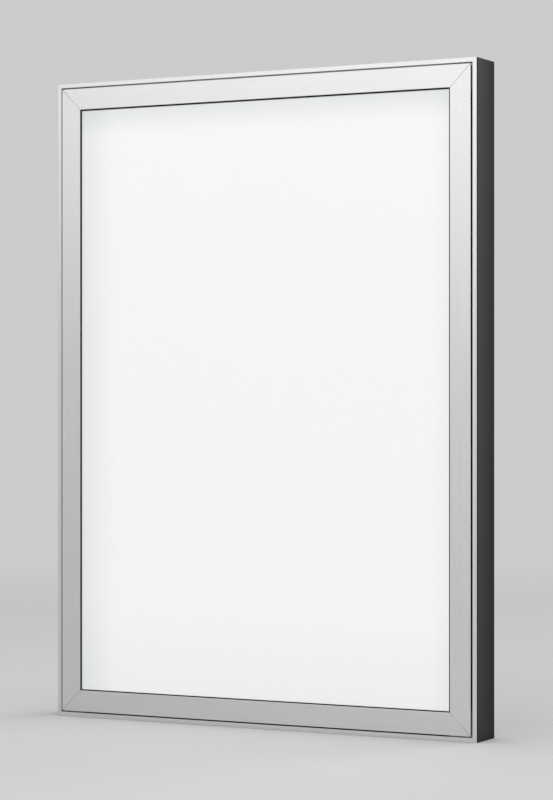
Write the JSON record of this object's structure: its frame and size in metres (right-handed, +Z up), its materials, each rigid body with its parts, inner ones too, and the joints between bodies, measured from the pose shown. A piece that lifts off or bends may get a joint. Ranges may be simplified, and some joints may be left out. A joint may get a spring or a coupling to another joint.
{
  "type": "snap-frame led light box",
  "caption": "Slim upright LED light box: mitred silver snap frame with hinged covers, lit blank opal face, dark housing, recessed power inlet underneath.",
  "frame": {"origin": "middle of the underside of the box", "axes": "+X right, +Y from the lit face to the back, +Z up"},
  "size_m": [0.45, 0.042, 0.624],
  "materials": {
    "silver_anodised": "satin anodised, fine extrusion lines along the rail",
    "graphite_anodised": "satin graphite anodised",
    "black_rubber": "matte",
    "spring_steel": "polished strip",
    "cast_zinc": "die cast, matte",
    "black_oxide_steel": "black oxide",
    "zinc_plated_steel": "bright zinc plated",
    "clear_plastic": "clear, anti-glare front",
    "opal_plastic": "opal white, lit from behind",
    "white_foam": "matte foam",
    "white_film": "matte white film",
    "back_sheet": "mill finish sheet, faint rolling lines",
    "white_board": "white solder mask",
    "led_phosphor": "phosphor fill in a white package",
    "lens_plastic": "frosted clear",
    "white_nylon": "moulded",
    "red_insulation": "smooth",
    "black_insulation": "smooth",
    "black_plastic": "fine moulded texture",
    "black_gloss_plastic": "gloss moulded",
    "nickel_brass": "nickel plated"
  },
  "bodies": {
    "light_box": {"housing_rail_bottom": "graphite_anodised", "housing_rail_top": "graphite_anodised", "housing_rail_left": "graphite_anodised", "housing_rail_right": "graphite_anodised", "snap_base_bottom": "silver_anodised", "snap_base_top": "silver_anodised", "snap_base_left": "silver_anodised", "snap_base_right": "silver_anodised", "cover_springs_bottom": "spring_steel", "cover_springs_top": "spring_steel", "cover_springs_left": "spring_steel", "cover_springs_right": "spring_steel", "housing_corner_key_bottom_left": "cast_zinc", "housing_corner_key_bottom_right": "cast_zinc", "housing_corner_key_top_left": "cast_zinc", "housing_corner_key_top_right": "cast_zinc", "corner_key_grub_screws": "black_oxide_steel", "snap_base_corner_keys": "cast_zinc", "snap_base_screws": "zinc_plated_steel", "clear_cover_sheet": "clear_plastic", "opal_diffuser": "opal_plastic", "diffuser_foam_tape": "white_foam", "reflector_sheet": "white_film", "back_panel": "back_sheet", "back_panel_screws": "zinc_plated_steel", "led_bar_1": "white_board", "led_bar_2": "white_board", "led_bar_3": "white_board", "led_bar_4": "white_board", "led_packages": "led_phosphor", "led_lenses": "lens_plastic", "led_bar_screws": "zinc_plated_steel", "terminal_blocks": "white_nylon", "wires_positive": "red_insulation", "wires_negative": "black_insulation", "wire_clips": "white_nylon", "inlet_tray": "black_plastic", "inlet_tray_screws": "black_oxide_steel", "rocker_switch_case": "black_plastic", "dc_jack_body": "black_plastic", "dc_jack_pin": "nickel_brass", "dc_jack_nut": "nickel_brass", "power_terminals": "nickel_brass"},
    "bottom_cover": {"snap_cover_bottom": "silver_anodised", "cover_lip_seal_bottom": "black_rubber"},
    "top_cover": {"snap_cover_top": "silver_anodised", "cover_lip_seal_top": "black_rubber"},
    "left_cover": {"snap_cover_left": "silver_anodised", "cover_lip_seal_left": "black_rubber"},
    "right_cover": {"snap_cover_right": "silver_anodised", "cover_lip_seal_right": "black_rubber"},
    "power_rocker": {"rocker_switch_paddle": "black_gloss_plastic"}
  },
  "joints": [
    {"name": "bottom_cover_hinge", "type": "hinge", "parent": "light_box", "child": "bottom_cover", "pos_m": [0, -0.0187, 0.0074], "axis": [1, 0, 0], "range_deg": [0, 100]},
    {"name": "top_cover_hinge", "type": "hinge", "parent": "light_box", "child": "top_cover", "pos_m": [0, -0.0187, 0.6166], "axis": [-1, 0, 0], "range_deg": [0, 100]},
    {"name": "left_cover_hinge", "type": "hinge", "parent": "light_box", "child": "left_cover", "pos_m": [-0.2176, -0.0187, 0.312], "axis": [0, 0, -1], "range_deg": [0, 100]},
    {"name": "right_cover_hinge", "type": "hinge", "parent": "light_box", "child": "right_cover", "pos_m": [0.2176, -0.0187, 0.312], "axis": [0, 0, 1], "range_deg": [0, 100]},
    {"name": "power_rocker_tilt", "type": "hinge", "parent": "light_box", "child": "power_rocker", "pos_m": [-0.17, 0.003, 0.0086], "axis": [0, 1, 0], "range_deg": [-20, 0]}
  ]
}
